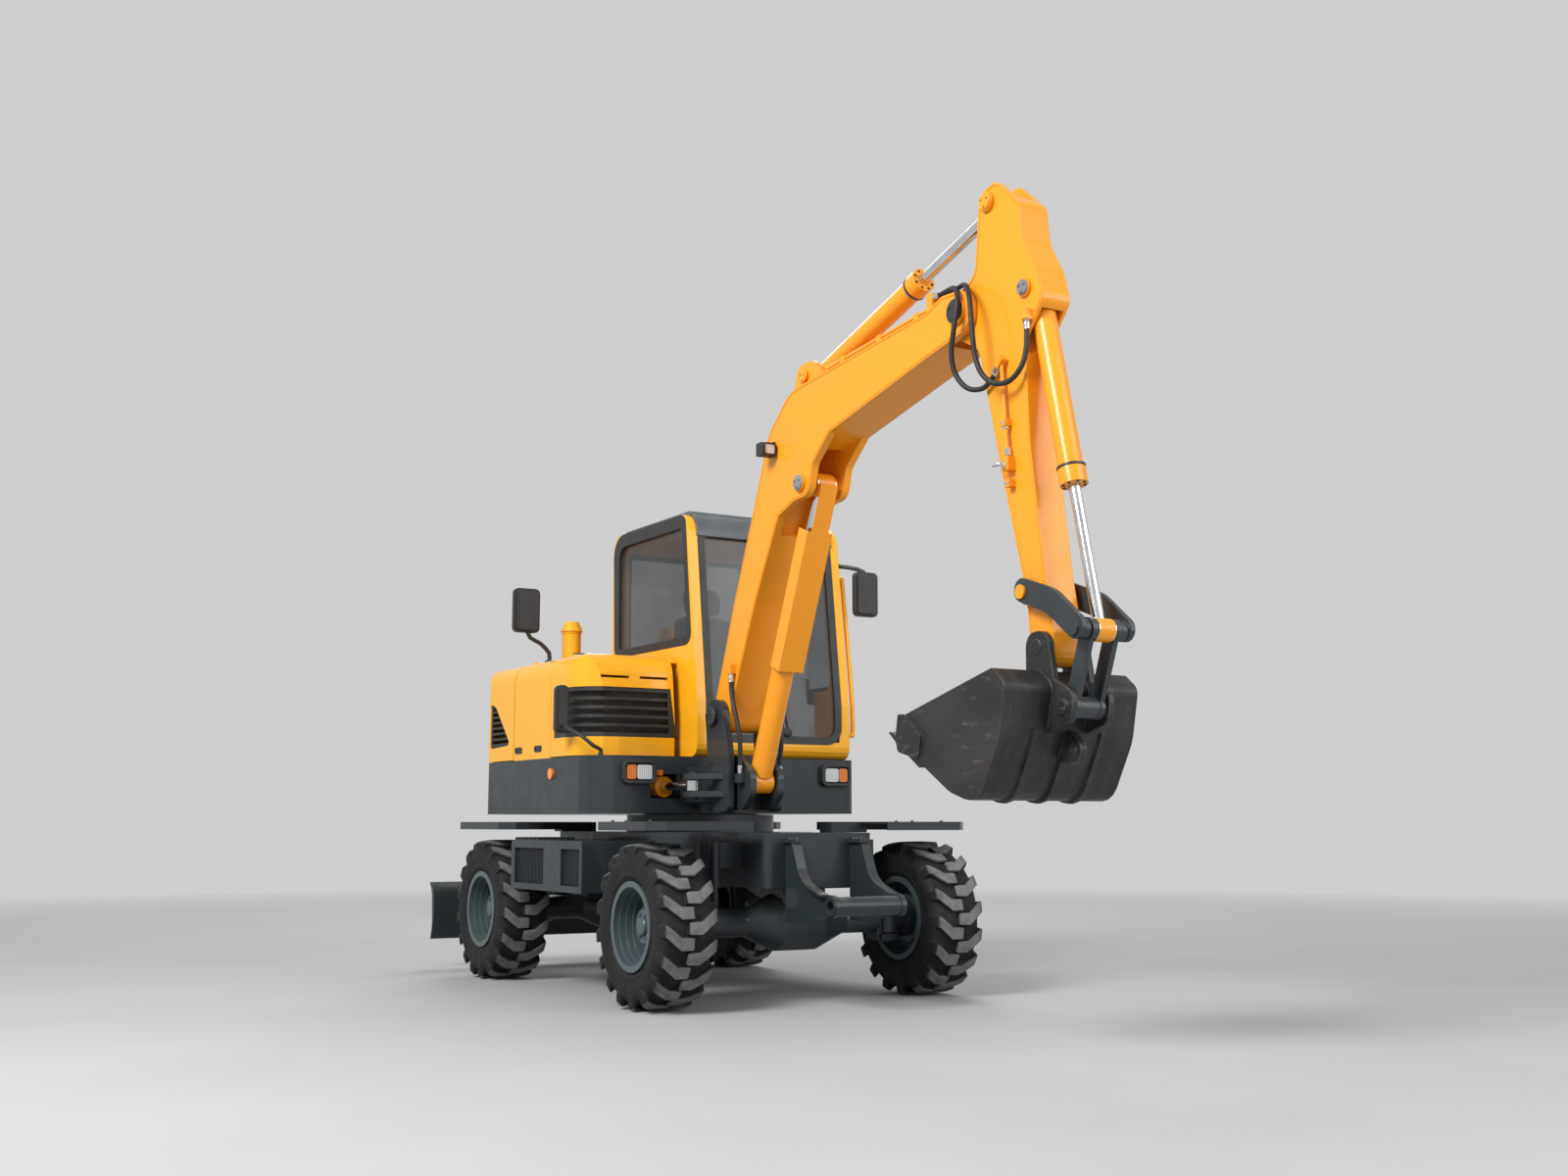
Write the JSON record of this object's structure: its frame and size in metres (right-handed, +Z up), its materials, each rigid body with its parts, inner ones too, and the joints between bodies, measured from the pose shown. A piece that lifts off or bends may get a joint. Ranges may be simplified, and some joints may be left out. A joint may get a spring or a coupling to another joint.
{
  "type": "wheeled excavator",
  "caption": "Wheeled excavator with slewing cab, swinging boom post, bent boom, arm, bucket with linkage, steered front axle and rear blade.",
  "frame": {"origin": "on the ground under the middle of the overall box", "axes": "+X forwards, +Y to the left, +Z up"},
  "size_m": [5.7736, 1.9675, 3.7139],
  "materials": {
    "dark_frame": "satin dark grey paint",
    "tyre": "matt black rubber",
    "rim": "satin grey paint",
    "counterweight": "satin dark grey paint",
    "hood_paint": "gloss yellow moulding",
    "engine": "painted casting",
    "cab_paint": "gloss yellow paint",
    "roof": "dark grey moulding",
    "glass": "tinted glass",
    "seat": "dark cloth",
    "black_trim": "black moulding",
    "lamp": "clear lens",
    "amber_lens": "amber lens",
    "boom_paint": "gloss yellow paint",
    "rod": "polished chrome",
    "links": "dark grey paint",
    "bucket": "worn dark paint",
    "hose": "black rubber"
  },
  "bodies": {
    "undercarriage": {"chassis": "dark_frame", "swing_bearing": "dark_frame", "front_bracket": "dark_frame", "fenders": "dark_frame", "step_boxes": "dark_frame", "front_axle": "dark_frame", "rear_axle": "dark_frame", "driveline": "dark_frame"},
    "steer_left": {"knuckle_left": "dark_frame"},
    "steer_right": {"knuckle_right": "dark_frame"},
    "wheel_fl": {"tyre_fl": "tyre", "rim_fl": "rim"},
    "wheel_fr": {"tyre_fr": "tyre", "rim_fr": "rim"},
    "wheel_rl": {"tyre_rl": "tyre", "rim_rl": "rim"},
    "wheel_rr": {"tyre_rr": "tyre", "rim_rr": "rim"},
    "blade": {"blade": "dark_frame"},
    "blade_barrels": {"blade_barrels": "boom_paint"},
    "blade_rods": {"blade_rods": "rod"},
    "upper": {"upper_frame": "dark_frame", "counterweight": "counterweight", "right_panel": "hood_paint", "engine": "engine", "exhaust": "cab_paint", "cab_shell": "cab_paint", "cab_roof": "roof", "windscreen": "glass", "side_glass": "glass", "seat": "seat", "console": "black_trim", "lamps": "lamp", "mirrors": "black_trim", "handrails": "cab_paint", "indicators": "amber_lens"},
    "right_cover": {"right_cover": "hood_paint", "grille": "black_trim"},
    "engine_hood": {"engine_hood": "hood_paint", "tail_vent_plate": "black_trim"},
    "door": {"door": "cab_paint", "door_glass": "glass"},
    "swing_post": {"swing_post": "dark_frame", "foot_hoses": "hose"},
    "swing_barrel": {"swing_barrel": "boom_paint"},
    "swing_rod": {"swing_rod": "rod"},
    "boom": {"boom": "boom_paint", "tip_hoses": "hose", "boom_lamps": "black_trim"},
    "boom_barrel": {"boom_barrel": "boom_paint"},
    "boom_rod": {"boom_rod": "rod", "rod_guard": "boom_paint"},
    "arm_barrel": {"arm_barrel": "boom_paint"},
    "arm_rod": {"arm_rod": "rod"},
    "arm": {"arm": "boom_paint"},
    "bucket_barrel": {"bucket_barrel": "boom_paint"},
    "bucket_rod": {"bucket_rod": "rod"},
    "side_links": {"side_links": "links"},
    "h_link": {"h_link": "links"},
    "bucket": {"bucket": "bucket"}
  },
  "joints": [
    {"name": "slew", "type": "hinge", "parent": "undercarriage", "child": "upper", "pos_m": [-0.925, 0, 0.95], "axis": [0, 0, 1], "continuous": true},
    {"name": "steer_left", "type": "hinge", "parent": "undercarriage", "child": "steer_left", "pos_m": [0.125, 0.6, 0.415], "axis": [0, 0, 1], "range_deg": [-30, 30]},
    {"name": "steer_right", "type": "hinge", "parent": "undercarriage", "child": "steer_right", "pos_m": [0.125, -0.6, 0.415], "axis": [0, 0, 1], "range_deg": [-31, 31]},
    {"name": "wheel_fl", "type": "hinge", "parent": "steer_left", "child": "wheel_fl", "pos_m": [0.125, 0.81, 0.415], "axis": [0, 1, 0], "continuous": true},
    {"name": "wheel_fr", "type": "hinge", "parent": "steer_right", "child": "wheel_fr", "pos_m": [0.125, -0.81, 0.415], "axis": [0, 1, 0], "continuous": true},
    {"name": "wheel_rl", "type": "hinge", "parent": "undercarriage", "child": "wheel_rl", "pos_m": [-1.975, 0.81, 0.415], "axis": [0, 1, 0], "continuous": true},
    {"name": "wheel_rr", "type": "hinge", "parent": "undercarriage", "child": "wheel_rr", "pos_m": [-1.975, -0.81, 0.415], "axis": [0, 1, 0], "continuous": true},
    {"name": "blade", "type": "hinge", "parent": "undercarriage", "child": "blade", "pos_m": [-2.255, 0, 0.505], "axis": [0, 1, 0], "range_deg": [-20, 12]},
    {"name": "blade_cylinder", "type": "hinge", "parent": "undercarriage", "child": "blade_barrels", "pos_m": [-2.325, 0, 0.79], "axis": [0, 1, 0], "range_deg": [-15.61, 9.36]},
    {"name": "blade_rod", "type": "slide", "parent": "blade_barrels", "child": "blade_rods", "axis": [-0.8022, 0, -0.597], "range_m": [-0.0566, 0.0944]},
    {"name": "door", "type": "hinge", "parent": "upper", "child": "door", "pos_m": [-1.27, 0.778, 1.9], "axis": [0, 0, 1], "range_deg": [0, 150]},
    {"name": "right_cover", "type": "hinge", "parent": "upper", "child": "right_cover", "pos_m": [-1.105, -0.58, 1.894], "axis": [0, -1, 0], "range_deg": [0, 60]},
    {"name": "engine_hood", "type": "hinge", "parent": "upper", "child": "engine_hood", "pos_m": [-1.669, -0.03, 1.894], "axis": [0, 1, 0], "range_deg": [0, 50]},
    {"name": "boom_swing", "type": "hinge", "parent": "upper", "child": "swing_post", "pos_m": [-0.225, -0.2, 1.14], "axis": [0, 0, -1], "range_deg": [-60, 50]},
    {"name": "swing_cylinder", "type": "hinge", "parent": "upper", "child": "swing_barrel", "pos_m": [-1.225, -0.44, 1.13], "axis": [0, 0, -1], "range_deg": [-3.67, 3.06]},
    {"name": "swing_rod", "type": "slide", "parent": "swing_barrel", "child": "swing_rod", "axis": [1, 0, 0], "range_m": [-0.178, 0.2136]},
    {"name": "boom", "type": "hinge", "parent": "swing_post", "child": "boom", "pos_m": [-0.095, -0.2, 1.5], "axis": [0, 1, 0], "range_deg": [-30, 75], "deforming": ["foot_hoses"]},
    {"name": "boom_cylinder", "type": "hinge", "parent": "swing_post", "child": "boom_barrel", "pos_m": [0.12, -0.2, 1.146], "axis": [0, 1, 0], "range_deg": [-28.61, 71.53]},
    {"name": "boom_rod", "type": "slide", "parent": "boom_barrel", "child": "boom_rod", "axis": [0.387, 0, 0.9221], "range_m": [-0.474, 0.1896]},
    {"name": "arm", "type": "hinge", "parent": "boom", "child": "arm", "pos_m": [2.085, -0.2, 3.18], "axis": [0, -1, 0], "range_deg": [-28, 65], "deforming": ["tip_hoses"]},
    {"name": "arm_cylinder", "type": "hinge", "parent": "boom", "child": "arm_barrel", "pos_m": [0.74, -0.2, 3.2], "axis": [0, -1, 0], "range_deg": [-3.28, 7.62]},
    {"name": "arm_rod", "type": "slide", "parent": "arm_barrel", "child": "arm_rod", "axis": [0.9606, 0, 0.2781], "range_m": [-0.5034, 0.2168]},
    {"name": "bucket", "type": "hinge", "parent": "arm", "child": "bucket", "pos_m": [2.565, -0.2, 1.64], "axis": [0, -1, 0], "range_deg": [-40, 100]},
    {"name": "bucket_cylinder", "type": "hinge", "parent": "arm", "child": "bucket_barrel", "pos_m": [2.505, -0.2, 3.18], "axis": [0, -1, 0], "range_deg": [-1.39, 3.47]},
    {"name": "bucket_rod", "type": "slide", "parent": "bucket_barrel", "child": "bucket_rod", "axis": [0.2162, 0, -0.9763], "range_m": [-0.4148, 0.1659]},
    {"name": "side_links", "type": "hinge", "parent": "arm", "child": "side_links", "pos_m": [2.51, -0.2, 1.872], "axis": [0, -1, 0], "range_deg": [-29.74, 74.36]},
    {"name": "h_link", "type": "hinge", "parent": "bucket", "child": "h_link", "pos_m": [2.725, -0.2, 1.388], "axis": [0, -1, 0], "range_deg": [-65.89, 26.36]}
  ],
  "couplings": [
    {"joint": "steer_right", "follows": "steer_left", "ratio": 1},
    {"joint": "blade_cylinder", "follows": "blade", "ratio": 0.765},
    {"joint": "blade_rod", "follows": "blade", "m_per_rad": -0.265},
    {"joint": "swing_cylinder", "follows": "boom_swing", "ratio": 0.06},
    {"joint": "swing_rod", "follows": "boom_swing", "m_per_rad": -0.2},
    {"joint": "boom_cylinder", "follows": "boom", "ratio": 0.935},
    {"joint": "boom_rod", "follows": "boom", "m_per_rad": -0.355},
    {"joint": "arm_cylinder", "follows": "arm", "ratio": 0.115},
    {"joint": "arm_rod", "follows": "arm", "m_per_rad": -0.435},
    {"joint": "bucket_cylinder", "follows": "bucket", "ratio": 0.034},
    {"joint": "bucket_rod", "follows": "bucket", "m_per_rad": -0.233},
    {"joint": "side_links", "follows": "bucket", "ratio": 0.729},
    {"joint": "h_link", "follows": "bucket", "ratio": -0.646}
  ]
}
